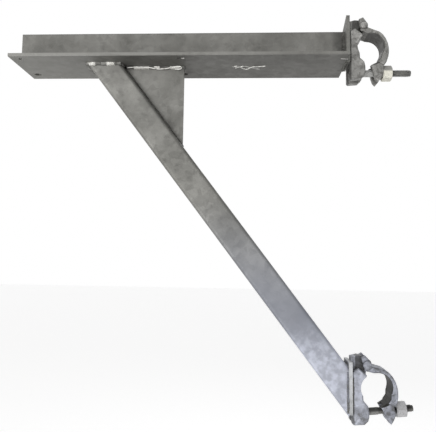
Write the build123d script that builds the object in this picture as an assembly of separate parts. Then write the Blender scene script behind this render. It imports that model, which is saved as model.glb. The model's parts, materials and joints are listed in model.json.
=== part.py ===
from build123d import *

import os
from math import atan2, cos, degrees, radians, sin, sqrt

os.makedirs("parts", exist_ok=True)

# Scaffold board bracket. The origin is the centre of the upper tube bore, the bores run along Y,
# the board arm points to -X and +Z is up. Sizes are in millimetres.

# Tube and the pitch of the two tubes that the bracket is clamped to
tube_radius = 24.15
bore_clearance = 0.15
tube_pitch = 610.0

# Board arm, a rolled tee that lies flange down
arm_length = 615.0
flange_width = 120.0
flange_thickness = 6.0
web_height = 60.0
web_thickness = 6.0
tee_root_radius = 6.0
flange_underside_below_bore = 31.8

# Holes in the flange: nail holes on the near side, strap bolt holes on the far side
hole_row_from_tip = 18.0
hole_row_pitch = 293.0
nail_hole_radius = 3.5
nail_hole_offset = 46.0
strap_hole_radius = 7.0
strap_hole_offset = 36.0

# End plates between the frame and the couplers
plate_thickness = 6.3
plate_height = 88.0
lower_plate_rise = 43.7
upper_plate_fall = 18.0

# Diagonal brace, a square hollow section
brace_size = 50.0
brace_wall = 3.5
brace_corner_radius = 6.0
brace_head_from_plate = 447.7
brace_foot_below_bore = 6.9

# Gusset plate in the corner of the arm and the brace
gusset_thickness = 6.0
gusset_edge_from_plate = 299.4
gusset_sink = 0.4

# Weld beads
arm_bead_leg = 5.5
brace_bead_leg = 5.0
gusset_bead_leg = 4.5
foot_bead_width = 8.0
foot_bead_height = 1.4
foot_bead_taper = 1.2
arm_seam_radius = 2.7
bead_crown = 0.6
bead_sink = 0.3
coupler_bead_leg = 3.0
coupler_bead_top = 18.0
coupler_bead_foot = -30.0

# Coupler body
saddle_wall = 14.4
body_width = 44.0
body_back_radius = 4.6
body_edge = 2.0
saddle_top_angle = 122.0
saddle_foot_angle = 213.0
lug_height = 16.8
lug_slot_headroom = 1.6

# Hinge of the coupler cap
hinge_standoff = 16.7
hinge_angle = 107.8
knuckle_radius = 9.3
knuckle_width = 20.0
ear_gap = 0.35
ear_radius = 7.6
ear_horn = 15.8
rivet_radius = 4.2
rivet_fit = 0.06
upper_rivet_head_radius = 6.2
lower_rivet_head_radius = 7.4
rivet_head_height = 2.6
rivet_head_gap = 0.3

# Coupler cap
cap_width = 42.0
cap_edge = 1.8
strap_thickness = 6.6
fork_width = 34.0
fork_length = 19.8
slot_clearance = 0.9
slot_headroom = 7.0

# T-bolt and nut
bolt_radius = 6.35
upper_bolt_reach = 103.0
lower_bolt_reach = 96.0
bolt_chamfer = 1.2
bolt_drop = 21.2
bolt_pivot_from_back = 11.7
bolt_head_radius = 7.0
bolt_head_length = 28.0
pocket_clearance = 0.3
nut_across_flats = 25.0
nut_height = 17.2
nut_turn = 20.0
nut_fit = 0.05
nut_seat_from_pivot = 50.5
nut_seat_gap = 0.3
nut_recess_clearance = 1.5

# How far each coupler stands open, in degrees, and the way the nut has come back for it
upper_cap_opening = 0.0
lower_cap_opening = 8.0
upper_bolt_tilt = 0.0
lower_bolt_tilt = 6.0
nut_travel_per_degree = 1.95

# Places worked out from the sizes above
bore_radius = tube_radius + bore_clearance
body_back = -(bore_radius + saddle_wall)
plate_face = body_back - plate_thickness
plate_width = body_width + 2 * coupler_bead_leg
flange_underside = -flange_underside_below_bore
flange_top = flange_underside + flange_thickness
arm_tip = plate_face - arm_length
hinge_x = (bore_radius + hinge_standoff) * cos(radians(hinge_angle))
hinge_z = (bore_radius + hinge_standoff) * sin(radians(hinge_angle))
pivot_x = body_back + bolt_pivot_from_back
pivot_z = -(bore_radius + bolt_drop)
nut_corner_radius = nut_across_flats / sqrt(3)
brace_head_x = plate_face - brace_head_from_plate
brace_foot_z = -tube_pitch - brace_foot_below_bore
brace_slope = degrees(atan2(flange_underside - brace_foot_z, brace_head_from_plate))


def around_bore(radius, angle):
    """A point in the side view, at an angle about the bore from +X towards +Z."""
    return (radius * cos(radians(angle)), radius * sin(radians(angle)))


def from_hinge(across, up):
    """A point in the side view, measured from the hinge centre."""
    return (hinge_x + across, hinge_z + up)


def from_pivot(across, up):
    """A point in the side view, measured from the T-bolt's pivot."""
    return (pivot_x + across, pivot_z + up)


def slab(points, width):
    """A side view outline given thickness along Y, half to each side."""
    face = make_face(Plane.XZ * Polyline(*points, close=True))
    return extrude(face, amount=width / 2, both=True)


def cross_pin(x, z, radius, length):
    """A cylinder along Y about a point of the side view."""
    return Pos(x, 0, z) * Rot(90, 0, 0) * Cylinder(radius, length)


def block(x_range, y_range, z_range):
    """A box given by its limits along each axis."""
    size = [high - low for low, high in (x_range, y_range, z_range)]
    centre = [(high + low) / 2 for low, high in (x_range, y_range, z_range)]
    return Pos(*centre) * Box(*size)


def ease_sides(solid, half_width, setback):
    """The same solid with the outline edges of its two side faces cut back at 45 degrees."""
    edges = [edge for edge in solid.edges() if abs(abs(edge.center().Y) - half_width) < 0.01]
    return chamfer(edges, setback)


def turned(solid, point, angle):
    """The solid turned about a line along Y, through a point of the side view; up is positive."""
    x, z = point
    return Pos(x, 0, z) * Rot(0, -angle, 0) * Pos(-x, 0, -z) * solid


def fillet_bead(start, end, first, second, leg):
    """A weld in the corner that runs from start to end, with legs along two directions."""
    run = Vector(*end) - Vector(*start)
    first = Vector(*first).normalized()
    second = Vector(*second).normalized()
    corner = Vector(*start) - (first + second) * bead_sink
    toe_one = corner + first * (leg + bead_sink)
    toe_two = corner + second * (leg + bead_sink)
    crown = Vector(*start) + (first + second) * (leg * bead_crown)
    face = make_face(Polyline(corner, toe_one, crown, toe_two, close=True))
    return extrude(face, amount=run.length, dir=run.normalized())


def laid_on(beads, *supports):
    """The beads as separate solids, each cut to the faces of what it lies on."""
    cut = []
    for bead in beads:
        for support in supports:
            bead = bead - support
        cut.extend(bead.solids())
    return Compound(children=cut)


def board_arm():
    """The tee that carries the boards, with its holes."""
    half_web = web_thickness / 2
    half_flange = flange_width / 2
    flange = block((arm_tip, plate_face), (-half_flange, half_flange), (flange_underside, flange_top))
    web = block((arm_tip, plate_face), (-half_web, half_web), (flange_top, flange_top + web_height))
    tee = flange + web
    roots = [e for e in tee.edges() if abs(abs(e.center().Y) - half_web) < 0.01
             and abs(e.center().Z - flange_top) < 0.01]
    tee = fillet(roots, tee_root_radius)
    for row in (0, 1):
        x = arm_tip + hole_row_from_tip + row * hole_row_pitch
        for y, radius in ((-nail_hole_offset, nail_hole_radius), (strap_hole_offset, strap_hole_radius)):
            tee -= Pos(x, y, flange_top) * Cylinder(radius, 4 * flange_thickness)
    return tee


def end_plate(foot, fall):
    """A plate between the frame and a coupler, its top edge falling towards the far side."""
    half = plate_width / 2
    top = foot + plate_height
    outline = ((-half, foot), (half, foot), (half, top - fall), (-half, top))
    face = make_face(Plane.YZ * Polyline(*outline, close=True))
    return Pos(plate_face, 0, 0) * extrude(face, amount=plate_thickness)


def brace_section(size, corner_radius, length):
    """A square bar along X, with rounded corners."""
    bar = Box(length, size, size)
    return fillet(bar.edges().filter_by(Axis.X), corner_radius)


def brace():
    """The diagonal hollow section, cut flush to the arm above and to the lower plate."""
    drop = flange_underside - brace_foot_z
    length = 1.3 * sqrt(brace_head_from_plate ** 2 + drop ** 2)
    inner_radius = max(brace_corner_radius - brace_wall, 1.0)
    tube = brace_section(brace_size, brace_corner_radius, length)
    tube -= brace_section(brace_size - 2 * brace_wall, inner_radius, length + 1)
    middle = (plate_face + brace_head_x) / 2, 0, (flange_underside + brace_foot_z) / 2
    tube = Pos(*middle) * Rot(0, brace_slope, 0) * tube
    kept = block((arm_tip, plate_face), (-flange_width, flange_width), (-2 * tube_pitch, flange_underside))
    return tube & kept


def brace_top_line(x):
    """Height of the brace's upper face at a distance along the arm."""
    across = brace_size / 2 / cos(radians(brace_slope))
    return brace_foot_z + across - (x - plate_face) * sin(radians(brace_slope)) / cos(radians(brace_slope))


def gusset(tube):
    """The plate in the corner between the arm and the upper face of the brace."""
    slope = sin(radians(brace_slope)) / cos(radians(brace_slope))
    edge_x = plate_face - gusset_edge_from_plate
    corner_x = plate_face - (flange_underside - brace_top_line(plate_face)) / slope
    foot_z = brace_top_line(edge_x) - gusset_sink
    points = ((corner_x - gusset_sink, flange_underside), (edge_x, flange_underside), (edge_x, foot_z))
    return slab(points, gusset_thickness) - tube


def arm_end_weld(arm, plate):
    """The beads on both sides of the web and under the flange; boards lie clear on the flange."""
    half_web = web_thickness / 2
    beads = []
    for side in (-1, 1):
        web_corner = (plate_face, side * half_web, flange_top + tee_root_radius)
        web_top = (plate_face, side * half_web, flange_top + web_height)
        beads.append(fillet_bead(web_corner, web_top, (-1, 0, 0), (0, side, 0), arm_bead_leg))
    seam_length = plate_width - 4 * arm_seam_radius
    beads.append(cross_pin(plate_face, flange_underside, arm_seam_radius, seam_length))
    return laid_on(beads, arm, plate)


def brace_head_weld(arm, tube, corner_plate):
    """The beads between the head of the brace and the underside of the arm."""
    half = brace_size / 2
    across = half / sin(radians(brace_slope))
    left_x = brace_head_x - across
    right_x = brace_head_x + across
    beads = []
    for side in (-1, 1):
        near = (left_x, side * half, flange_underside)
        far = (right_x, side * half, flange_underside)
        beads.append(fillet_bead(near, far, (0, side, 0), (0, 0, -1), brace_bead_leg))
    flat = half - brace_corner_radius
    for x, outward in ((left_x, -1), (right_x, 1)):
        near = (x, -flat, flange_underside)
        far = (x, flat, flange_underside)
        beads.append(fillet_bead(near, far, (outward, 0, 0), (0, 0, -1), brace_bead_leg))
    return laid_on(beads, arm, tube, corner_plate)


def gusset_weld(arm, tube, corner_plate):
    """The beads on both sides of the gusset, under the arm and along the brace."""
    half = gusset_thickness / 2
    slope_angle = radians(brace_slope)
    edge_x = plate_face - gusset_edge_from_plate
    corner_x = brace_head_x + brace_size / 2 / sin(slope_angle)
    corner_x += 2 * gusset_bead_leg
    upward = (sin(slope_angle), 0, cos(slope_angle))
    beads = []
    for side in (-1, 1):
        near = (corner_x, side * half, flange_underside)
        far = (edge_x, side * half, flange_underside)
        beads.append(fillet_bead(near, far, (0, side, 0), (0, 0, -1), gusset_bead_leg))
        near = (corner_x, side * half, brace_top_line(corner_x))
        far = (edge_x, side * half, brace_top_line(edge_x))
        beads.append(fillet_bead(near, far, (0, side, 0), upward, gusset_bead_leg))
    return laid_on(beads, arm, tube, corner_plate)


def brace_foot_weld(tube, plate):
    """The seams between the foot of the brace and the lower plate."""
    half = brace_size / 2
    flat = half - brace_corner_radius
    top_z = brace_top_line(plate_face)
    foot_z = 2 * brace_foot_z - top_z
    beads = []
    for side in (-1, 1):
        seam_x = (plate_face - foot_bead_width, plate_face + foot_bead_height)
        seam_y = sorted((side * (half - bead_sink), side * (half + foot_bead_height)))
        seam = block(seam_x, seam_y, (foot_z + brace_corner_radius, top_z - brace_corner_radius))
        outer = [e for e in seam.edges().filter_by(Axis.Z) if abs(e.center().Y) > half]
        beads.append(chamfer(outer, foot_bead_taper))
    near = (plate_face, -flat, top_z)
    far = (plate_face, flat, top_z)
    beads.append(fillet_bead(near, far, (-1, 0, 0), (0, 0, 1), brace_bead_leg))
    return laid_on(beads, tube, plate)


def saddle():
    """The coupler body: the half that holds the tube, the hinge knuckle and the bolt lug."""
    half = body_width / 2
    chord_top = around_bore(bore_radius + 1.6, saddle_top_angle)
    chord_foot = around_bore(bore_radius, saddle_foot_angle)
    outline = (
        (body_back, bore_radius + 3.7),
        from_hinge(-15.0, -5.7),
        chord_top,
        chord_foot,
        from_pivot(7.2, 23.0),
        from_pivot(14.7, 16.0),
        from_pivot(16.7, 7.5),
        from_pivot(16.7, -2.5),
        from_pivot(14.7, -9.5),
        from_pivot(8.5, -15.3),
        (body_back, pivot_z - lug_height),
    )
    body = slab(outline, body_width)
    back_edges = [e for e in body.edges() if abs(e.center().X - body_back) < 0.01
                  and abs(abs(e.center().Y) - half) < 0.01]
    body = fillet(back_edges, body_back_radius)
    flank_edges = [e for e in body.edges() if abs(abs(e.center().Y) - half) < 0.01
                   and e.center().X > body_back + 1]
    body = chamfer(flank_edges, body_edge)
    knuckle = slab(
        (
            (body_back, bore_radius),
            (body_back, hinge_z + 11.5),
            from_hinge(-14.5, 14.5),
            from_hinge(-8.5, 14.0),
            (hinge_x, hinge_z + knuckle_radius),
            (hinge_x, hinge_z - knuckle_radius),
            chord_top,
            (body_back / 2, 0),
        ),
        knuckle_width,
    )
    body += knuckle + cross_pin(hinge_x, hinge_z, knuckle_radius, knuckle_width)
    body -= cross_pin(0, 0, bore_radius, 2 * body_width)
    body -= cross_pin(hinge_x, hinge_z, rivet_radius, 2 * body_width)
    # The pocket for the head of the T-bolt is open to the back, its slot to the front and below
    head_radius = bolt_head_radius + pocket_clearance
    head_half = bolt_head_length / 2 + pocket_clearance
    pocket = cross_pin(pivot_x, pivot_z, head_radius, 2 * head_half)
    pocket_heights = (pivot_z - head_radius, pivot_z + head_radius)
    pocket += block((body_back - 1, pivot_x), (-head_half, head_half), pocket_heights)
    slot_half = bolt_radius + slot_clearance
    slot_top = pivot_z + slot_half + lug_slot_headroom
    slot_foot = pivot_z - 2 * lug_height
    slot = block((body_back - 1, pivot_x + 2 * lug_height), (-slot_half, slot_half), (slot_foot, slot_top))
    return body - pocket - slot


def cap(opening):
    """The hinged cap with its two ears, the strap round the tube and the forked end."""
    fork_half = fork_width / 2
    seat_radius = nut_seat_from_pivot - nut_seat_gap
    outer_radius = bore_radius + strap_thickness
    rim = around_bore(bore_radius + 4.4, -50)
    shelf = around_bore(bore_radius + 7.2, -68)
    strap = slab(
        (
            from_hinge(-8.1, ear_horn - 3.2),
            from_hinge(-0.8, ear_horn),
            from_hinge(5.0, 7.5),
            from_hinge(8.2, -3.6),
            around_bore(outer_radius + 0.6, 76),
            around_bore(outer_radius + 0.8, 60),
            around_bore(outer_radius + 0.5, 45),
            around_bore(outer_radius, 28),
            around_bore(outer_radius + 0.5, 10),
            around_bore(outer_radius + 1.7, -6),
            around_bore(outer_radius + 3.4, -18),
            around_bore(outer_radius + 6.2, -32),
            around_bore(outer_radius + 10.2, -47),
            around_bore(outer_radius + 12.4, -56),
            shelf,
            rim,
            around_bore(bore_radius - 1, -30),
            around_bore(bore_radius / 2, 15),
            around_bore(bore_radius - 1, 92),
            from_hinge(-5.2, -9.5),
        ),
        cap_width,
    )
    strap = ease_sides(strap, cap_width / 2, cap_edge)
    strap += cross_pin(hinge_x, hinge_z, ear_radius, cap_width)
    fork = slab(
        (
            rim,
            shelf,
            around_bore(bore_radius + 10.4, -88.5),
            from_pivot(31.3, 2.5),
            from_pivot(33.2, -6.5),
            from_pivot(36.2, 4.8 - fork_length),
            from_pivot(40.5, -fork_length),
            from_pivot(46.0, 6.3 - fork_length),
            from_pivot(seat_radius + 1, -4.0),
            from_pivot(seat_radius + 1, 12.0),
        ),
        fork_width,
    )
    fork = ease_sides(fork, fork_half, cap_edge)
    fork &= cross_pin(pivot_x, pivot_z, seat_radius, 2 * cap_width)
    whole = strap + fork
    whole -= cross_pin(0, 0, bore_radius, 2 * cap_width)
    # The nut bears in a spot face, sunk for every tilt that the bolt may have
    recess_radius = nut_corner_radius + nut_recess_clearance
    recess_depth = body_width
    for tilt in (0, lower_bolt_tilt):
        recess = Rot(0, 90, 0) * Cylinder(recess_radius, recess_depth)
        recess = Pos(seat_radius + recess_depth / 2, 0, 0) * recess
        whole -= turned(Pos(pivot_x, 0, pivot_z) * recess, (pivot_x, pivot_z), tilt)
    slot_half = bolt_radius + slot_clearance
    slot_top = pivot_z + bolt_radius + slot_headroom
    slot_far = pivot_x + seat_radius + outer_radius
    whole -= block((pivot_x + bolt_head_radius, slot_far), (-slot_half, slot_half),
                   (pivot_z - 2 * fork_length, slot_top))
    # The ears stand outside the knuckle
    gap_half = knuckle_width / 2 + ear_gap
    gap_radius = knuckle_radius + ear_gap
    gap = cross_pin(hinge_x, hinge_z, gap_radius, 2 * gap_half)
    gap_reach = hinge_z
    gap += block((hinge_x - gap_reach, hinge_x + ear_gap), (-gap_half, gap_half), (0, hinge_z + gap_reach))
    gap += block((hinge_x, hinge_x + gap_reach), (-gap_half, gap_half), (hinge_z, hinge_z + gap_reach))
    whole -= gap
    whole -= cross_pin(hinge_x, hinge_z, rivet_radius + rivet_fit, 2 * cap_width)
    return turned(whole, (hinge_x, hinge_z), opening)


def hinge_rivet(head_radius):
    """The rivet of the cap's hinge, with a head outside each ear."""
    head_from = cap_width / 2 + rivet_head_gap
    head_to = head_from + rivet_head_height
    rivet = cross_pin(hinge_x, hinge_z, rivet_radius, 2 * head_to)
    for side in (-1, 1):
        middle = side * (head_from + head_to) / 2
        head = Pos(hinge_x, middle, hinge_z) * Rot(90, 0, 0) * Cylinder(head_radius, rivet_head_height)
        rim = [e for e in head.edges().filter_by(GeomType.CIRCLE) if abs(abs(e.center().Y) - head_to) < 0.01]
        rivet += chamfer(rim, rivet_head_height / 2)
    return rivet


def t_bolt(tilt, reach):
    """The T-bolt: a round cross head in the lug and a shank out through the fork."""
    head = Rot(90, 0, 0) * Cylinder(bolt_head_radius, bolt_head_length)
    head = chamfer(head.edges().filter_by(GeomType.CIRCLE), 1.0)
    shank = Pos(reach / 2, 0, 0) * Rot(0, 90, 0) * Cylinder(bolt_radius, reach)
    tip = [e for e in shank.edges().filter_by(GeomType.CIRCLE) if e.center().X > reach / 2]
    shank = chamfer(tip, bolt_chamfer)
    bolt = Pos(pivot_x, 0, pivot_z) * (head + shank)
    return turned(bolt, (pivot_x, pivot_z), tilt)


def nut(tilt, opening):
    """The nut, as far back along the bolt as the cap stands open."""
    distance = nut_seat_from_pivot + nut_travel_per_degree * opening
    blank = extrude(RegularPolygon(nut_corner_radius, 6), amount=nut_height)
    cone_radius = nut_across_flats / 2
    cone = Cone(cone_radius + 2 * nut_height, cone_radius, nut_height)
    blank &= Pos(0, 0, nut_height / 2) * cone
    blank -= Cylinder(bolt_radius + nut_fit, 4 * nut_height)
    placed = Pos(pivot_x + distance, 0, pivot_z) * Rot(0, 90, 0) * Rot(0, 0, nut_turn) * blank
    return turned(placed, (pivot_x, pivot_z), tilt)


def coupler_weld(height, body, plate):
    """The two beads between the coupler body and its plate."""
    half = body_width / 2
    beads = []
    for side in (-1, 1):
        foot = (body_back, side * half, height + coupler_bead_foot)
        top = (body_back, side * half, height + coupler_bead_top)
        beads.append(fillet_bead(foot, top, (1, 0, 0), (0, side, 0), coupler_bead_leg))
    return laid_on(beads, body, plate)


def write_coupler(name, height, opening, tilt, reach, head_radius, plate):
    """All the pieces of one half coupler, at a height and as far open as it stands."""
    body = saddle()
    pieces = {
        "saddle": body,
        "cap": cap(opening),
        "rivet": hinge_rivet(head_radius),
        "t_bolt": t_bolt(tilt, reach),
        "nut": nut(tilt, opening),
    }
    for piece, shape in pieces.items():
        export_step(Pos(0, 0, height) * shape, f"parts/{name}_{piece}.step")
    beads = coupler_weld(height, Pos(0, 0, height) * body, plate)
    export_step(beads, f"parts/{name}_weld.step")


arm = board_arm()
tube = brace()
corner_plate = gusset(tube)
upper_plate = end_plate(flange_underside, upper_plate_fall)
lower_plate = end_plate(-tube_pitch + lower_plate_rise - plate_height, 0)
frame_pieces = {
    "board_arm": arm,
    "brace": tube,
    "gusset": corner_plate,
    "upper_plate": upper_plate,
    "lower_plate": lower_plate,
    "arm_end_weld": arm_end_weld(arm, upper_plate),
    "brace_head_weld": brace_head_weld(arm, tube, corner_plate),
    "gusset_weld": gusset_weld(arm, tube, corner_plate),
    "brace_foot_weld": brace_foot_weld(tube, lower_plate),
}
for piece, shape in frame_pieces.items():
    export_step(shape, f"parts/{piece}.step")

write_coupler(
    "upper", 0, upper_cap_opening, upper_bolt_tilt, upper_bolt_reach, upper_rivet_head_radius, upper_plate
)
write_coupler(
    "lower", -tube_pitch, lower_cap_opening, lower_bolt_tilt, lower_bolt_reach, lower_rivet_head_radius,
    lower_plate
)
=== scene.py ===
import json
from math import atan2, cos, pi, radians, sin

import bpy
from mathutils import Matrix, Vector


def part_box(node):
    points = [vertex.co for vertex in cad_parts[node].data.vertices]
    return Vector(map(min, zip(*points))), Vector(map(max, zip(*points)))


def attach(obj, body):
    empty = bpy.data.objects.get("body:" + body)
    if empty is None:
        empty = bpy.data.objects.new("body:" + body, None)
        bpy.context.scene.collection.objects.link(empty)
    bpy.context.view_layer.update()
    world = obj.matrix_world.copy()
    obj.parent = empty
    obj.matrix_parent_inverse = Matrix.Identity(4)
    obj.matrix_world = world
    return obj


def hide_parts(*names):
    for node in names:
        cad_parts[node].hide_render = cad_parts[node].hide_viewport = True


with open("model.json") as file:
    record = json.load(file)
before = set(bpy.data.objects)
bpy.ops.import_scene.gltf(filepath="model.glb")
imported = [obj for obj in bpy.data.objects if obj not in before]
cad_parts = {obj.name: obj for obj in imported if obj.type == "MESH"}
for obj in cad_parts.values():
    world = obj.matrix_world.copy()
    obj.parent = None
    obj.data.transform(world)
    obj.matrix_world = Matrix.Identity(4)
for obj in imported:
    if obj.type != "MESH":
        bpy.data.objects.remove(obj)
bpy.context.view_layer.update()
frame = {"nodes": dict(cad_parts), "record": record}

bpy.ops.object.select_all(action="DESELECT")

MM = 0.001


# Shader arithmetic

class Value:
    """A number, a colour or a shader in a node tree. Sums on a number add Math nodes to the tree."""

    def __init__(self, nodes, socket):
        self.nodes = nodes
        self.socket = socket

    def math(self, operation, first, second=0.0):
        return self.nodes.node("ShaderNodeMath", {"operation": operation}, {0: first, 1: second})

    def __add__(self, other):
        return self.math("ADD", self, other)

    def __sub__(self, other):
        return self.math("SUBTRACT", self, other)

    def __rsub__(self, other):
        return self.math("SUBTRACT", other, self)

    def __mul__(self, other):
        return self.math("MULTIPLY", self, other)

    def __pow__(self, other):
        return self.math("POWER", self, other)

    def size(self):
        """The number without its sign."""
        return self.math("ABSOLUTE", self)

    def clamped(self):
        return self.nodes.node("ShaderNodeClamp", {}, {"Value": self})


class Nodes:
    """A node tree under construction."""

    def __init__(self, tree):
        self.tree = tree

    def node(self, kind, settings, inputs, output=0):
        """A node of that type: its settings first, then the values or links of its sockets."""
        made = self.tree.nodes.new(kind)
        for name, value in settings.items():
            setattr(made, name, value)
        for name, value in inputs.items():
            self.feed(made.inputs[name], value)
        return Value(self, made.outputs[output])

    def feed(self, socket, value):
        """Links a value to a socket, or writes a plain number or colour into it."""
        if isinstance(value, Value):
            self.tree.links.new(value.socket, socket)
        else:
            socket.default_value = value

    def backdrop_rays(self):
        """1 for rays from the camera, off gloss and through glass, which find a white backdrop."""
        camera = self.node("ShaderNodeLightPath", {}, {}, "Is Camera Ray")
        gloss = self.node("ShaderNodeLightPath", {}, {}, "Is Glossy Ray")
        glass = self.node("ShaderNodeLightPath", {}, {}, "Is Transmission Ray")
        return (camera + gloss + glass).clamped()

    def choose(self, mask, first, second):
        """The first shader where the mask is 0 and the second where it is 1."""
        return self.node("ShaderNodeMixShader", {}, {0: mask, 1: first, 2: second})


class Finish(Nodes):
    """A material under construction, with its pattern space, its shader and its colour so far."""

    def __init__(self, name):
        self.material = bpy.data.materials.new(name)
        self.material.use_nodes = True
        super().__init__(self.material.node_tree)
        self.shader = self.tree.nodes["Principled BSDF"]
        self.place = self.node("ShaderNodeTexCoord", {}, {}, "Object")
        self.colour = None

    def put(self, name, value):
        """Feeds one of the shader's sockets."""
        self.feed(self.shader.inputs[name], value)

    def paint(self, colour):
        self.colour = colour
        self.put("Base Color", colour)

    def cover(self, mask, colour):
        """Puts a colour over the finish where the mask is 1."""
        self.paint(self.mix(mask, self.colour, colour))

    def along(self, axis):
        return self.node("ShaderNodeSeparateXYZ", {}, {0: self.place}, axis)

    def stretched(self, scale):
        return self.node("ShaderNodeMapping", {}, {"Vector": self.place, "Scale": scale})

    def noise(self, per_metre, detail, roughness=0.6, distortion=0.0, place=None):
        inputs = {"Vector": place or self.place, "Scale": per_metre, "Detail": detail,
                  "Roughness": roughness, "Distortion": distortion}
        return self.node("ShaderNodeTexNoise", {}, inputs, "Fac")

    def pits(self, per_metre):
        """0 in the middle of each pit, rising away from it."""
        inputs = {"Vector": self.place, "Scale": per_metre}
        return self.node("ShaderNodeTexVoronoi", {}, inputs, "Distance")

    def spangles(self, per_metre):
        """One even number for each crystal of the zinc."""
        inputs = {"Vector": self.place, "Scale": per_metre}
        shade = self.node("ShaderNodeTexVoronoi", {}, inputs, "Color")
        return self.node("ShaderNodeSeparateColor", {}, {"Color": shade}, "Red")

    def painted_crevice_shade(self, reach):
        """Painted shade: 1 deep in a corner or a crevice, where shade falls, and 0 on open faces."""
        openness = self.node("ShaderNodeAmbientOcclusion", {"samples": 8}, {"Distance": reach}, "AO")
        return self.step(1.0 - openness, 0.35, 0.95)

    def round_bar(self, across, height):
        """Distance from a line along Y through a place in the side view."""
        x = self.along("X") - across
        z = self.along("Z") - height
        return (x * x + z * z) ** 0.5

    def step(self, value, low, high):
        """0 at low and beyond, 1 at high and beyond, and smooth between them."""
        inputs = {"Value": value, "From Min": low, "From Max": high}
        return self.node("ShaderNodeMapRange", {"interpolation_type": "SMOOTHSTEP"}, inputs)

    def within(self, value, low, high, soft):
        """1 where the value is between low and high, with soft borders."""
        return self.step(value, low - soft, low + soft) * self.step(value, high + soft, high - soft)

    def mix(self, mask, first, second):
        """The first colour where the mask is 0 and the second where it is 1."""
        inputs = {0: mask, 6: self.opaque(first), 7: self.opaque(second)}
        return self.node("ShaderNodeMix", {"data_type": "RGBA"}, inputs, 2)

    def opaque(self, colour):
        return colour if isinstance(colour, Value) else (*colour, 1.0)

    def bump(self, height, distance, strength):
        return self.node("ShaderNodeBump", {}, {"Height": height, "Distance": distance, "Strength": strength})


# Places and sizes, read from the frame

def piece_box(node):
    """The lowest and the highest corner of a CAD node."""
    low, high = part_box(node)
    return Vector(low), Vector(high)


def joint_place(joint):
    return Vector(joints[joint]["pos_m"])


arm_low, arm_high = piece_box("board_arm")
brace_low, brace_high = piece_box("brace")
_, gusset_high = piece_box("gusset")
upper_plate_low, upper_plate_high = piece_box("upper_plate")
joints = {joint["name"]: joint for joint in frame["record"]["behaviour"]["joints"]}
upper_hinge = joint_place("upper_cap_hinge")
lower_hinge = joint_place("lower_cap_hinge")

flange_thickness = 6 * MM
flange_underside = arm_low.z
flange_top = flange_underside + flange_thickness
plate_face = upper_plate_low.x
body_back = upper_plate_high.x
half_flange = arm_high.y
half_brace = brace_high.y
half_gusset = gusset_high.y
half_web = 3 * MM
half_body = 22 * MM
half_knuckle = 10 * MM
half_cap = 21 * MM
bore_radius = 24.3 * MM
lower_bore_z = lower_hinge.z - upper_hinge.z

# The brace's two top corners under the flange, from its fall and its square section
brace_fall = (brace_low.z - flange_underside) / (plate_face - brace_low.x)
brace_head_length = 2 * half_brace * (1 + brace_fall ** 2) ** 0.5 / -brace_fall
head_right = brace_low.x + brace_head_length

# The lower cap rests a little open, so its bore's centre has swung about its hinge
lower_opening = radians(8)
swung_x = lower_hinge.x - upper_hinge.x * cos(lower_opening) + upper_hinge.z * sin(lower_opening)
swung_z = lower_hinge.z - upper_hinge.x * sin(lower_opening) - upper_hinge.z * cos(lower_opening)

BOLT_RADIUS = 6.35 * MM
BOLT_PITCH = 2.1 * MM
BOLT_NECK = 36 * MM
BOLT_HEAD_RADIUS = 7 * MM
BOLT_HEAD_HALF = 14 * MM
UPPER_BOLT_REACH = 103 * MM
LOWER_BOLT_REACH = 96 * MM

RIPPLE_PITCH = 2.3 * MM
HEAD_BEAD = 5 * MM
CROSS_BEAD = 4.5 * MM
GUSSET_BEAD = 4.2 * MM
GUSSET_SLOPE_BEAD = 3.6 * MM
ARM_BEAD = 4.8 * MM
ARM_SEAM = 2.6 * MM
FOOT_BEAD = 3 * MM
COUPLER_BEAD = 2.9 * MM
BEAD_INSET = 6 * MM

# Heights and distances along the arm where the finish changes
# Where the brace turns paler and bluish: partly a tint of the zinc, partly painted light
BLUE_STARTS, BLUE_FULL = -0.26, -0.52
FOOT_STARTS, FOOT_FULL = -0.52, -0.60
# Where painted light under the flange towards the tip begins and is full
TIP_LIT_STARTS, TIP_LIT_FULL = -0.42, -0.62
WEB_DULL_STARTS, WEB_DULL_FULL = -0.15, -0.35
# Where the painted highlight along the flange's edges weakens
EDGE_FADES, EDGE_FADED = -0.30, -0.05
# Spans of the weld beads given a painted highlight
HEAD_HIGHLIGHT_SPANS = ((-0.521, -0.508), (-0.486, -0.472))
GUSSET_HIGHLIGHT_SPANS = ((-0.440, -0.412), (-0.402, -0.392), (-0.372, -0.352))
HOLE_BLOB_SPAN = (-0.3455, -0.336)
END_BLOB_STARTS, END_BLOB_FULL = -0.12, -0.08


# Finishes

WARM_ZINC = (0.140, 0.138, 0.126)
PALE_ZINC = (0.235, 0.232, 0.215)
DARK_ZINC = (0.085, 0.083, 0.076)
# Bluish zinc for low down: partly its own tint, partly painted light
LILAC_ZINC = (0.225, 0.238, 0.282)
# Painted highlights on the weld beads and the zinc runs, and the brightest of them
PAINTED_HIGHLIGHT_ZINC = (0.780, 0.770, 0.730)
BRIGHTEST_HIGHLIGHT_ZINC = (0.850, 0.840, 0.800)
# A pale tone in the beads' clouds, and a painted highlight along the flange's edges
PALE_AND_EDGE_HIGHLIGHT_ZINC = (0.225, 0.222, 0.208)
# Near black: a random dark tone in the small parts' zinc, and the colour of painted shade in corners, creases
# and along tops
SOOT_AND_PAINTED_SHADE = (0.030, 0.029, 0.027)
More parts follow.
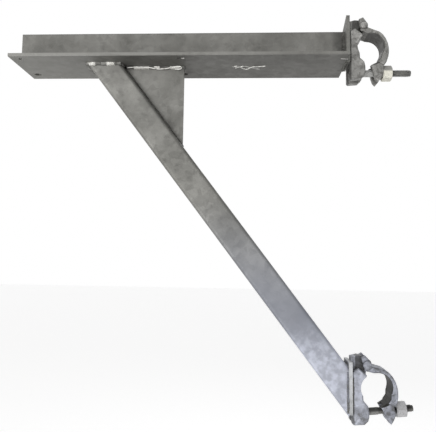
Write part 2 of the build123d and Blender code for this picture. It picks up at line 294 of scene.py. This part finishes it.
# Paler, bluish zincs for the foot and the lower coupler: partly their own tint, partly painted light that
# brightens the lower parts
FOOT_ZINC = (0.520, 0.540, 0.620)
FOOT_PLATE_ZINC = (0.460, 0.470, 0.480)
PALE_FOOT_PLATE_ZINC = (0.600, 0.610, 0.630)
FORGED_ZINC = (0.250, 0.247, 0.235)
PALE_FORGED_ZINC = (0.360, 0.356, 0.340)
FOOT_FORGED_ZINC = (0.255, 0.265, 0.305)
PALE_FOOT_FORGED_ZINC = (0.480, 0.500, 0.570)
CREAM_ZINC = (0.800, 0.785, 0.670)
PALE_CREAM_ZINC = (0.860, 0.840, 0.740)
NUT_ZINC = (0.460, 0.460, 0.465)
PALE_NUT_ZINC = (0.540, 0.540, 0.550)
BOLT_ZINC = (0.150, 0.150, 0.145)
# Painted highlights on thread crests
CREST_HIGHLIGHT_ZINC = (0.450, 0.450, 0.435)


def galvanised(name, base, pale, dark, metal=0.35, roughness=0.5, clouds_per_metre=9.0):
    """Old hot-dip zinc: cloudy and faintly spangled, with scuffs, pits and dirty spots."""
    finish = Finish(name)
    along_arm = finish.stretched((0.25, 1.0, 1.0))
    clouds = finish.noise(clouds_per_metre, detail=5.0, distortion=0.4)
    patches = finish.noise(clouds_per_metre * 5, detail=4.0, roughness=0.65, distortion=0.2)
    grain = finish.noise(650.0, detail=3.0)
    scuffs = finish.noise(55.0, detail=6.0, roughness=0.7, distortion=0.3, place=along_arm)
    spangle = finish.spangles(95.0)
    pits = finish.pits(230.0)
    colour = finish.mix(finish.step(clouds, 0.35, 0.68), base, pale)
    colour = finish.mix(finish.step(patches, 0.5, 0.75) * 0.5, colour, dark)
    colour = finish.mix(finish.step(scuffs, 0.56, 0.72) * 0.5, colour, pale)
    colour = finish.mix(spangle * 0.22, colour, dark)
    colour = finish.mix(finish.step(grain, 0.45, 0.8) * 0.3, colour, dark)
    finish.paint(colour)
    # Painted shade in corners and crevices
    finish.cover(finish.painted_crevice_shade(9 * MM) * 0.8, SOOT_AND_PAINTED_SHADE)
    finish.put("Metallic", metal)
    shine = patches * 0.16 + spangle * 0.1 + grain * 0.08 + (roughness - 0.1)
    finish.put("Roughness", shine.clamped())
    height = grain * 0.3 + patches * 0.5 + scuffs * 0.35 - finish.step(pits, 0.12, 0.0) * 0.5
    finish.put("Normal", finish.bump(height, distance=0.4 * MM, strength=0.7))
    return finish


def small_part_zinc(name, base, pale, dark, metal=0.3, roughness=0.45, clouds_per_metre=80.0):
    """Zinc with its clouds scaled down for a bead, a bolt or a nut."""
    return galvanised(name, base, pale, dark, metal, roughness, clouds_per_metre)


def brace_finish():
    """The brace turns pale and bluish downwards, and is blotched and palest at its foot: partly a tint of the
    zinc, partly painted light that brightens the lower parts.
    """
    finish = galvanised("brace_zinc", WARM_ZINC, PALE_ZINC, DARK_ZINC)
    height = finish.along("Z")
    # Paler and bluish downwards: partly the zinc's tint, partly painted light
    finish.cover(finish.step(height, BLUE_STARTS, BLUE_FULL) * 0.75, LILAC_ZINC)
    ragged = height - finish.noise(14.0, detail=4.0) * 0.06
    blotches = finish.step(finish.noise(75.0, detail=5.0, roughness=0.65), 0.38, 0.62)
    finish.cover(finish.step(ragged, FOOT_STARTS, FOOT_FULL) * (blotches * 0.5 + 0.4), FOOT_ZINC)
    return finish


def arm_finish():
    """The arm, with painted light under the flange towards the tip and painted shade under the rest, a
    painted highlight along the flange's edges, painted shade on the web by the end plate and a darker line
    along the web's top.
    """
    finish = galvanised("arm_zinc", WARM_ZINC, PALE_ZINC, DARK_ZINC)
    ahead = finish.along("X")
    height = finish.along("Z")
    streaks = finish.noise(30.0, detail=5.0, place=finish.stretched((0.15, 1.0, 1.0)))
    # Painted light under the flange towards the tip, painted shade under the rest of it
    low_face = finish.step(height, flange_underside + 2 * MM, flange_underside + 1 * MM)
    tip_side = finish.step(ahead, TIP_LIT_STARTS, TIP_LIT_FULL)
    finish.cover(low_face * tip_side * 0.85, PALE_ZINC)
    finish.cover(low_face * (1.0 - tip_side) * 0.45, DARK_ZINC)
    web = finish.step(height, flange_top, flange_top + 2 * MM)
    finish.cover(web * finish.step(ahead, WEB_DULL_STARTS, WEB_DULL_FULL) * 0.2, DARK_ZINC)
    # Painted shade on the web in the corner by the end plate
    by_plate = finish.step(ahead, plate_face - 30 * MM, plate_face - 4 * MM)
    finish.cover(web * by_plate * (streaks * 0.5 + 0.35), SOOT_AND_PAINTED_SHADE)
    # A darker line along the web's top
    finish.cover(finish.step(height, arm_high.z - 1.4 * MM, arm_high.z - 0.6 * MM) * 0.6, SOOT_AND_PAINTED_SHADE)
    # A painted highlight along the flange's edges, weaker towards the plate
    edge = finish.step(finish.along("Y").size(), half_flange - 0.9 * MM, half_flange - 0.3 * MM)
    left = 1.0 - finish.step(ahead, EDGE_FADES, EDGE_FADED) * 0.5
    finish.cover(edge * left * (finish.step(streaks, 0.35, 0.6) * 0.6 + 0.3), PALE_AND_EDGE_HIGHLIGHT_ZINC)
    return finish


def mottled_forging(name, base, pale):
    """Zinc over a rough forging: stained, with pale patches of painted highlight, and painted shade in its
    recesses.
    """
    finish = galvanised(name, base, pale, DARK_ZINC, metal=0.3, roughness=0.42, clouds_per_metre=45.0)
    stains = finish.step(finish.noise(110.0, detail=5.0, roughness=0.7, distortion=0.5), 0.47, 0.62)
    finish.cover(stains * 0.65, DARK_ZINC)
    # Pale patches of painted highlight
    pale_painted_highlights = finish.step(finish.noise(70.0, detail=3.0, distortion=0.8), 0.56, 0.70)
    finish.cover(pale_painted_highlights * 0.6, tuple(1.25 * part for part in pale))
    # Painted shade in recesses
    finish.cover(finish.painted_crevice_shade(22 * MM) * 0.75, SOOT_AND_PAINTED_SHADE)
    return finish


def saddle_finish(name, base, pale, hinge):
    """A forged saddle, with painted shade along its back, heavier low down by its bolt lug, and on the
    knuckle between the cap's ears.
    """
    finish = mottled_forging(name, base, pale)
    ahead = finish.along("X")
    height = finish.along("Z")
    # Painted shade in the crease along the back, against the plate
    back = finish.step(ahead, body_back + 5 * MM, body_back + 2 * MM)
    lug_side = finish.step(height, hinge.z - 50 * MM, hinge.z - 58 * MM)
    finish.cover(back * (lug_side * 0.5 + 0.25), SOOT_AND_PAINTED_SHADE)
    # Painted shade on the knuckle, in the recess between the cap's ears
    middle = finish.step(finish.along("Y").size(), half_knuckle + 1.2 * MM, half_knuckle + 0.4 * MM)
    knuckle = middle * finish.step(height, hinge.z - 13 * MM, hinge.z - 9 * MM)
    finish.cover(knuckle * finish.step(ahead, body_back + 6 * MM, body_back + 8 * MM) * 0.85, SOOT_AND_PAINTED_SHADE)
    return finish


def paler_back(finish):
    """The lower saddle is paler beside the tube than on its bolt lug."""
    by_tube = finish.within(finish.along("Z"), lower_bore_z - 30 * MM, lower_bore_z + 24 * MM, 4 * MM)
    blotches = finish.step(finish.noise(120.0, detail=4.0), 0.35, 0.6)
    finish.cover(by_tube * (blotches * 0.4 + 0.25), FOOT_ZINC)


def cap_finish(name, base, pale, hinge, bore_x, bore_z, depth):
    """A forged cap, with painted shade where it bears on the tube, inside its lip and round its rivet."""
    finish = mottled_forging(name, base, pale)
    away = finish.round_bar(bore_x, bore_z)
    # Painted shade on the seat against the tube and inside the lip
    seat = finish.step(away, bore_radius + 1.3 * MM, bore_radius + 0.4 * MM)
    lip = finish.step(away, bore_radius + 11.4 * MM, bore_radius + 10.9 * MM)
    lip = lip * finish.step(finish.along("Z"), bore_z - 12 * MM, bore_z - 13 * MM)
    lip = lip * finish.step(finish.along("Y").size(), half_cap - 0.6 * MM, half_cap - 1.2 * MM)
    painted_shade_mask = (seat + lip).clamped() * depth
    finish.cover(painted_shade_mask, SOOT_AND_PAINTED_SHADE)
    # Painted shadow round the rivet's head
    rivet_ring = finish.within(finish.round_bar(hinge.x, hinge.z), 6.5 * MM, 8.2 * MM, 0.5 * MM)
    finish.cover(rivet_ring * depth * 0.7, SOOT_AND_PAINTED_SHADE)
    finish.put("Metallic", (1.0 - painted_shade_mask) * 0.3)
    finish.put("Specular IOR Level", 0.1)
    return finish


def bead_finish(name, painted_highlight_spans, side):
    """Weld beads under zinc: dull, with a painted highlight along some smooth spans of the joint."""
    finish = small_part_zinc(name, WARM_ZINC, PALE_AND_EDGE_HIGHLIGHT_ZINC, SOOT_AND_PAINTED_SHADE, metal=0.4, roughness=0.4)
    ahead = finish.along("X") + finish.noise(90.0, detail=2.0, roughness=0.5) * (8 * MM) - 4 * MM
    on_side = finish.step(finish.along("Y").size(), side - 3.5 * MM, side - 2.5 * MM)
    by_arm = finish.step(finish.along("Z"), flange_underside - 6.5 * MM, flange_underside - 5 * MM)
    # Painted highlights along the given spans
    for start, end in painted_highlight_spans:
        painted_highlight_mask = finish.within(ahead, start, end, 1 * MM)
        finish.cover(painted_highlight_mask * on_side * by_arm * 0.95, PAINTED_HIGHLIGHT_ZINC)
    return finish


def bolt_finish(coupler, shine, top_shadow_strength):
    """A dark bolt, with painted highlights on its thread crests and painted shadow along its top."""
    finish = small_part_zinc(f"{coupler}_bolt_zinc", BOLT_ZINC, PALE_ZINC, SOOT_AND_PAINTED_SHADE, clouds_per_metre=60.0)
    pivot = joint_place(f"{coupler}_bolt_swing")
    direction = joints[f"{coupler}_nut_travel"]["axis"]
    slope = direction[2] / direction[0]
    rise = finish.along("Z") - pivot.z - (finish.along("X") - pivot.x) * slope
    across = finish.along("Y")
    away = (rise * rise + across * across) ** 0.5
    crest = finish.step(away, BOLT_RADIUS - 0.6 * MM, BOLT_RADIUS - 0.1 * MM)
    # Painted highlights on the thread crests
    finish.cover(crest * shine, CREST_HIGHLIGHT_ZINC)
    # Painted shadow along the bolt's top
    finish.cover(finish.step(rise, -1 * MM, 2 * MM) * top_shadow_strength, SOOT_AND_PAINTED_SHADE)
    return finish


def upper_nut_finish():
    """The upper nut: cream zinc, with painted shade in dull grey on its upper facets."""
    finish = small_part_zinc("upper_nut_zinc", CREAM_ZINC, PALE_CREAM_ZINC, PALE_ZINC,
                             roughness=0.4, clouds_per_metre=60.0)
    middle = joint_place("upper_bolt_swing").z
    # Painted shade on the upper facets
    finish.cover(finish.step(finish.along("Z"), middle - 0.5 * MM, middle + 2.5 * MM) * 0.85, FORGED_ZINC)
    return finish


def run_finish():
    """Zinc runs coloured as a painted highlight, with dull gaps, and dull drips by the hole and by the plate.
    """
    # The runs' colour is a painted highlight
    finish = small_part_zinc("run_zinc", PAINTED_HIGHLIGHT_ZINC, BRIGHTEST_HIGHLIGHT_ZINC, PALE_ZINC,
                             roughness=0.35, clouds_per_metre=90.0)
    gaps = finish.step(finish.noise(130.0, detail=3.0), 0.50, 0.60)
    finish.cover(gaps * 0.75, FORGED_ZINC)
    ahead = finish.along("X")
    by_hole = finish.within(ahead, *HOLE_BLOB_SPAN, 0.5 * MM)
    by_plate = finish.step(ahead, END_BLOB_STARTS, END_BLOB_FULL)
    finish.cover((by_hole + by_plate).clamped() * 0.8, FORGED_ZINC)
    return finish


def coat(finish, *nodes):
    """The finish on all of each CAD node."""
    for node in nodes:
        piece = frame["nodes"][node]
        piece.data.materials.clear()
        piece.data.materials.append(finish.material)


coat(arm_finish(), "board_arm")
coat(brace_finish(), "brace")
coat(galvanised("frame_zinc", WARM_ZINC, PALE_ZINC, DARK_ZINC), "gusset", "upper_plate")
# The lower plate is painted paler and bluer than the upper one: partly its own tint, partly painted light
coat(galvanised("foot_plate_zinc", FOOT_PLATE_ZINC, PALE_FOOT_PLATE_ZINC, DARK_ZINC), "lower_plate")

coat(saddle_finish("upper_forging_zinc", FORGED_ZINC, PALE_FORGED_ZINC, upper_hinge),
     "upper_saddle", "upper_rivet")
lower_saddle_zinc = saddle_finish("lower_forging_zinc", FOOT_FORGED_ZINC, PALE_FOOT_FORGED_ZINC, lower_hinge)
paler_back(lower_saddle_zinc)
coat(lower_saddle_zinc, "lower_saddle", "lower_rivet")

coat(cap_finish("upper_cap_zinc", FORGED_ZINC, PALE_FORGED_ZINC,
                upper_hinge, bore_x=0.0, bore_z=0.0, depth=0.6), "upper_cap")
coat(cap_finish("lower_cap_zinc", FOOT_FORGED_ZINC, PALE_FOOT_FORGED_ZINC,
                lower_hinge, bore_x=swung_x, bore_z=swung_z, depth=1.0), "lower_cap")

coat(upper_nut_finish(), "upper_nut")
coat(small_part_zinc("lower_nut_zinc", NUT_ZINC, PALE_NUT_ZINC, DARK_ZINC,
                     roughness=0.4, clouds_per_metre=60.0), "lower_nut")


# Modelling, as by hand

def select_only(*pieces):
    bpy.ops.object.select_all(action="DESELECT")
    for piece in pieces:
        piece.select_set(True)
    bpy.context.view_layer.objects.active = pieces[0]


def settle(piece):
    """Writes the piece's place into its mesh and leaves the object at the origin."""
    select_only(piece)
    bpy.ops.object.transform_apply(location=True, rotation=True, scale=True)


def modify(piece, kind, **settings):
    """Adds a modifier and applies it."""
    select_only(piece)
    modifier = piece.modifiers.new(kind.lower(), kind)
    for name, value in settings.items():
        setattr(modifier, name, value)
    bpy.ops.object.modifier_apply(modifier=modifier.name)


def joined(name, pieces):
    select_only(*pieces)
    bpy.ops.object.join()
    whole = bpy.context.object
    whole.name = name
    whole.data.name = name
    return whole


def edit(piece, *steps):
    """Runs the steps in edit mode with all of the piece's mesh selected."""
    select_only(piece)
    bpy.ops.object.mode_set(mode="EDIT")
    bpy.ops.mesh.select_all(action="SELECT")
    for step in steps:
        step()
    bpy.ops.object.mode_set(mode="OBJECT")


def finished(piece, body, finish, slot, *nodes):
    """Gives a piece its finish and its body, and hides the nodes that it stands for; the slot is not used."""
    piece.data.materials.clear()
    piece.data.materials.append(finish.material)
    select_only(piece)
    bpy.ops.object.shade_smooth_by_angle(angle=radians(38))
    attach(piece, body)
    if nodes:
        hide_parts(*nodes)


# T-bolts with real threads

def bar(radius, start, end, bevel):
    """A round bar along Z, with its two ends bevelled."""
    middle = (0, 0, (start + end) / 2)
    bpy.ops.mesh.primitive_cylinder_add(vertices=40, radius=radius, depth=end - start, location=middle)
    piece = bpy.context.object
    settle(piece)
    modify(piece, "BEVEL", width=bevel, segments=2, limit_method="ANGLE", angle_limit=radians(60))
    return piece


def thread_ridge(start, end):
    """The crest of a thread: a small triangle wound up along Z."""
    depth = 0.55 * BOLT_PITCH
    place = (BOLT_RADIUS - depth, 0, start)
    bpy.ops.mesh.primitive_circle_add(vertices=3, radius=depth, location=place, rotation=(pi / 2, pi / 2, 0))
    ridge = bpy.context.object
    settle(ridge)
    turns = int((end - start) / BOLT_PITCH)
    modify(ridge, "SCREW", axis="Z", screw_offset=BOLT_PITCH, iterations=turns, steps=24, render_steps=24)
    edit(
        ridge,
        lambda: bpy.ops.mesh.fill_holes(sides=3),
        lambda: bpy.ops.mesh.normals_make_consistent(inside=False),
    )
    return ridge


def t_bolt(coupler, reach, finish):
    """The bolt of a coupler: core, plain neck, thread and cross head."""
    core_radius = BOLT_RADIUS - 0.6 * BOLT_PITCH
    core = bar(core_radius, 0, reach, bevel=0.5 * MM)
    neck = bar(BOLT_RADIUS, 0, BOLT_NECK, bevel=0.8 * MM)
    ridge = thread_ridge(BOLT_NECK - BOLT_PITCH, reach - 1.5 * MM)
    head = bar(BOLT_HEAD_RADIUS, -BOLT_HEAD_HALF, BOLT_HEAD_HALF, bevel=1.2 * MM)
    head.rotation_euler = (pi / 2, 0, 0)
    settle(head)
    bolt = joined(f"{coupler}_bolt_threaded", [core, neck, ridge, head])
    direction = joints[f"{coupler}_nut_travel"]["axis"]
    bolt.rotation_euler = (0, atan2(direction[0], direction[2]), 0)
    bolt.location = joint_place(f"{coupler}_bolt_swing")
    settle(bolt)
    finished(bolt, f"{coupler}_t_bolt", finish, "bolt_steel", f"{coupler}_t_bolt")


t_bolt("upper", UPPER_BOLT_REACH, bolt_finish("upper", shine=0.95, top_shadow_strength=0.0))
t_bolt("lower", LOWER_BOLT_REACH, bolt_finish("lower", shine=0.3, top_shadow_strength=0.9))


# Weld beads, as rows of overlapping ripples

def bead(start, end, radius, flat=(1, 1, 1), seed=0):
    """A row of ripples from one point to another, uneven as a hand weld is."""
    start = Vector(start)
    end = Vector(end)
    run = end - start
    count = max(3, round(run.length / RIPPLE_PITCH))
    bpy.ops.mesh.primitive_uv_sphere_add(segments=12, ring_count=7, radius=radius, location=start)
    row = bpy.context.object
    row.rotation_euler = run.to_track_quat("Z", "Y").to_euler()
    row.scale = (1, 1, 0.55)
    settle(row)
    edit(row, lambda: bpy.ops.transform.resize(value=flat, center_override=start))
    modify(row, "ARRAY", count=count, use_relative_offset=False, use_constant_offset=True,
           constant_offset_displace=run / (count - 1))
    uneven = {"offset": 0.12 * radius, "uniform": 0.4, "normal": 0.6, "seed": seed}
    edit(row, lambda: bpy.ops.transform.vertex_random(**uneven))
    return row


def both_sides(start, end, radius, flat=(1, 1, 1), seed=0):
    """The same bead on the near side and on the far side."""
    rows = []
    for side in (-1, 1):
        side_start = (start[0], side * start[1], start[2])
        side_end = (end[0], side * end[1], end[2])
        rows.append(bead(side_start, side_end, radius, flat, seed + side))
    return rows


def cross_bead(x, z, reach, radius, seed):
    """A bead from the near side to the far side."""
    return bead((x, -reach, z), (x, reach, z), radius, seed=seed)


def weld(name, node, rows, finish):
    """A weld made of its rows of ripples, in place of its CAD node."""
    piece = joined(name, rows)
    lumps = bpy.data.textures.new(f"{name}_lumps", "CLOUDS")
    lumps.noise_scale = 14 * MM
    modify(piece, "DISPLACE", texture=lumps, strength=1.6 * MM, mid_level=0.5)
    finished(piece, "frame", finish, "weld_bead", node)


def brace_top(x):
    """Height of the brace's upper face at a distance along the arm."""
    return flange_underside + brace_fall * (x - head_right)


def brace_head_bead():
    rows = both_sides((brace_low.x, half_brace, flange_underside), (head_right, half_brace, flange_underside),
                      HEAD_BEAD, seed=3)
    for x in (brace_low.x, head_right):
        rows.append(cross_bead(x, flange_underside, half_brace - BEAD_INSET, CROSS_BEAD, seed=11))
    finish = bead_finish("head_bead_zinc", HEAD_HIGHLIGHT_SPANS, half_brace)
    weld("brace_head_bead", "brace_head_weld", rows, finish)


def gusset_bead():
    start = head_right + 8 * MM
    end = gusset_high.x - 1 * MM
    rows = both_sides((start, half_gusset, flange_underside), (end, half_gusset, flange_underside),
                      GUSSET_BEAD, seed=21)
    rows += both_sides((start, half_gusset, brace_top(start)), (end, half_gusset, brace_top(gusset_high.x)),
                       GUSSET_SLOPE_BEAD, seed=31)
    finish = bead_finish("gusset_bead_zinc", GUSSET_HIGHLIGHT_SPANS, half_gusset)
    weld("gusset_bead", "gusset_weld", rows, finish)


def arm_end_bead(finish):
    """Beads up both sides of the web, and a seam under the flange."""
    bottom = flange_top + 7 * MM
    top = arm_high.z - 3 * MM
    rows = both_sides((plate_face, half_web, bottom), (plate_face, half_web, top), ARM_BEAD, seed=41)
    seam_reach = upper_plate_high.y - 5 * MM
    rows.append(cross_bead(plate_face, flange_underside, seam_reach, ARM_SEAM, seed=43))
    weld("arm_end_bead", "arm_end_weld", rows, finish)


def brace_foot_bead():
    top = brace_top(plate_face)
    x = plate_face - 2 * MM
    rows = both_sides((x, half_brace, top - 8 * MM), (x, half_brace, brace_low.z + 8 * MM),
                      FOOT_BEAD, flat=(0.7, 0.5, 1), seed=51)
    rows.append(cross_bead(plate_face, top, half_brace - BEAD_INSET, CROSS_BEAD, seed=53))
    finish = small_part_zinc("foot_seam_zinc", WARM_ZINC, LILAC_ZINC, SOOT_AND_PAINTED_SHADE)
    weld("brace_foot_bead", "brace_foot_weld", rows, finish)


def coupler_bead(coupler, bore_z, finish):
    """Beads along the back of a saddle, where it meets its plate."""
    rows = both_sides((body_back, half_body, bore_z - 28 * MM), (body_back, half_body, bore_z + 16 * MM),
                      COUPLER_BEAD, seed=61)
    weld(f"{coupler}_coupler_bead", f"{coupler}_weld", rows, finish)


seam_zinc = small_part_zinc("seam_zinc", DARK_ZINC, WARM_ZINC, SOOT_AND_PAINTED_SHADE)
brace_head_bead()
gusset_bead()
arm_end_bead(seam_zinc)
brace_foot_bead()
coupler_bead("upper", 0.0, seam_zinc)
coupler_bead("lower", lower_bore_z, seam_zinc)


# Zinc runs and drips left by the dipping

def zinc_run(name, points, radius):
    """A thin raised run of zinc through its points, half sunk in the steel."""
    bpy.ops.curve.primitive_nurbs_path_add()
    run = bpy.context.object
    curve = run.data
    curve.splines.clear()
    spline = curve.splines.new("NURBS")
    spline.points.add(len(points) - 1)
    for point, place in zip(spline.points, points):
        point.co = (*place, 1.0)
    spline.order_u = 3
    spline.use_endpoint_u = True
    curve.bevel_depth = radius
    curve.bevel_resolution = 2
    curve.use_fill_caps = True
    select_only(run)
    bpy.ops.object.convert(target="MESH")
    run = bpy.context.object
    run.name = name
    settle(run)
    return run


def flange_run(name, radius, places):
    """A run on the flange's underside, through places given along and across the arm."""
    return zinc_run(name, [(x, y, flange_underside) for x, y in places], radius)


def gusset_run(name, radius, places):
    """A run on the gusset's near bead, through places given along the arm and below the flange."""
    face = -half_gusset - 3.4 * MM
    return zinc_run(name, [(x, face, flange_underside - drop * MM) for x, drop in places], radius)


runs = [
    flange_run("run_one", 1.1 * MM, [
        (-0.252, -0.003), (-0.243, -0.010), (-0.234, 0.006), (-0.226, 0.012),
        (-0.217, -0.003), (-0.204, -0.002), (-0.192, -0.006),
    ]),
    flange_run("run_two", 0.8 * MM, [
        (-0.248, 0.004), (-0.238, -0.004), (-0.229, -0.006), (-0.214, 0.006), (-0.203, 0.010),
    ]),
    gusset_run("streak", 1.2 * MM, [
        (-0.452, 2.4), (-0.440, 1.0), (-0.425, 1.2), (-0.410, 1.8), (-0.398, 4.6), (-0.386, 5.2),
        (-0.374, 3.6), (-0.364, 0.2), (-0.352, -0.4), (-0.348, 3.4), (-0.353, 6.2), (-0.362, 5.0),
    ]),
    flange_run("plate_drip", 1.7 * MM, [(-0.058, -0.041), (-0.051, -0.040), (-0.045, -0.038)]),
    flange_run("hole_drip", 1.6 * MM, [(-0.3445, -0.047), (-0.3415, -0.046), (-0.339, -0.046)]),
]
finished(joined("zinc_runs", runs), "frame", run_finish(), "weld_bead")


# Studio: floor, world, lamps and camera

WHITE = (1.0, 1.0, 1.0, 1.0)


def floor_white():
    """A matt white floor that looks white to the camera and in gloss, and keeps a shadow."""
    finish = Finish("floor_white")
    finish.put("Base Color", (0.8, 0.8, 0.8, 1.0))
    finish.put("Roughness", 0.9)
    plain = Value(finish, finish.shader.outputs[0])
    glow = finish.node("ShaderNodeEmission", {}, {"Color": WHITE, "Strength": 0.62})
    glowing = finish.node("ShaderNodeAddShader", {}, {0: glow, 1: plain})
    surface = finish.choose(finish.backdrop_rays(), plain, glowing)
    finish.feed(finish.tree.nodes["Material Output"].inputs["Surface"], surface)
    return finish


def studio_world():
    """An even soft light, with a white background behind it."""
    world = bpy.data.worlds.new("studio")
    world.use_nodes = True
    bpy.context.scene.world = world
    nodes = Nodes(world.node_tree)
    light = nodes.node("ShaderNodeBackground", {}, {"Color": WHITE, "Strength": 0.34})
    background = nodes.node("ShaderNodeBackground", {}, {"Color": WHITE, "Strength": 1.0})
    surface = nodes.choose(nodes.backdrop_rays(), light, background)
    nodes.feed(nodes.tree.nodes["World Output"].inputs["Surface"], surface)


def soft_lamp(name, place, aim, width, power):
    """A square area lamp that looks at a point."""
    bpy.ops.object.light_add(type="AREA", location=place)
    lamp = bpy.context.object
    lamp.name = name
    lamp.data.size = width
    lamp.data.energy = power
    lamp.rotation_euler = (Vector(aim) - Vector(place)).to_track_quat("-Z", "Y").to_euler()


bpy.ops.mesh.primitive_plane_add(size=40.0, location=(0, 0, -1.5))
floor = bpy.context.object
floor.name = "floor"
floor.data.materials.append(floor_white().material)

studio_world()
middle = (-0.3, 0.0, -0.3)
soft_lamp("key_lamp", place=(-1.3, -2.5, -0.3), aim=middle, width=1.4, power=46.0)
soft_lamp("low_lamp", place=(-1.9, -1.3, -1.4), aim=(-0.6, 0.0, -0.05), width=0.9, power=16.0)
soft_lamp("back_lamp", place=(0.5, 2.2, 1.6), aim=middle, width=1.8, power=14.0)

# The photograph's frame, focal length and optical centre, in its pixels
PHOTO_WIDTH = 436
PHOTO_HEIGHT = 432
FOCAL_PIXELS = 526.7
CENTRE_ACROSS = 220.9
CENTRE_DOWN = 209.3
SENSOR_WIDTH = 36.0

bpy.ops.object.camera_add(location=(-0.2182, -0.9629, -0.3942))
camera = bpy.context.object
camera.name = "photo_camera"
camera.rotation_euler = (radians(95.508), radians(-0.878), radians(3.060))
camera.data.sensor_fit = "HORIZONTAL"
camera.data.sensor_width = SENSOR_WIDTH
camera.data.lens = SENSOR_WIDTH * FOCAL_PIXELS / PHOTO_WIDTH
camera.data.shift_x = -(CENTRE_ACROSS - PHOTO_WIDTH / 2) / PHOTO_WIDTH
camera.data.shift_y = (CENTRE_DOWN - PHOTO_HEIGHT / 2) / PHOTO_WIDTH
bpy.context.scene.camera = camera
bpy.context.scene.view_settings.view_transform = "Standard"
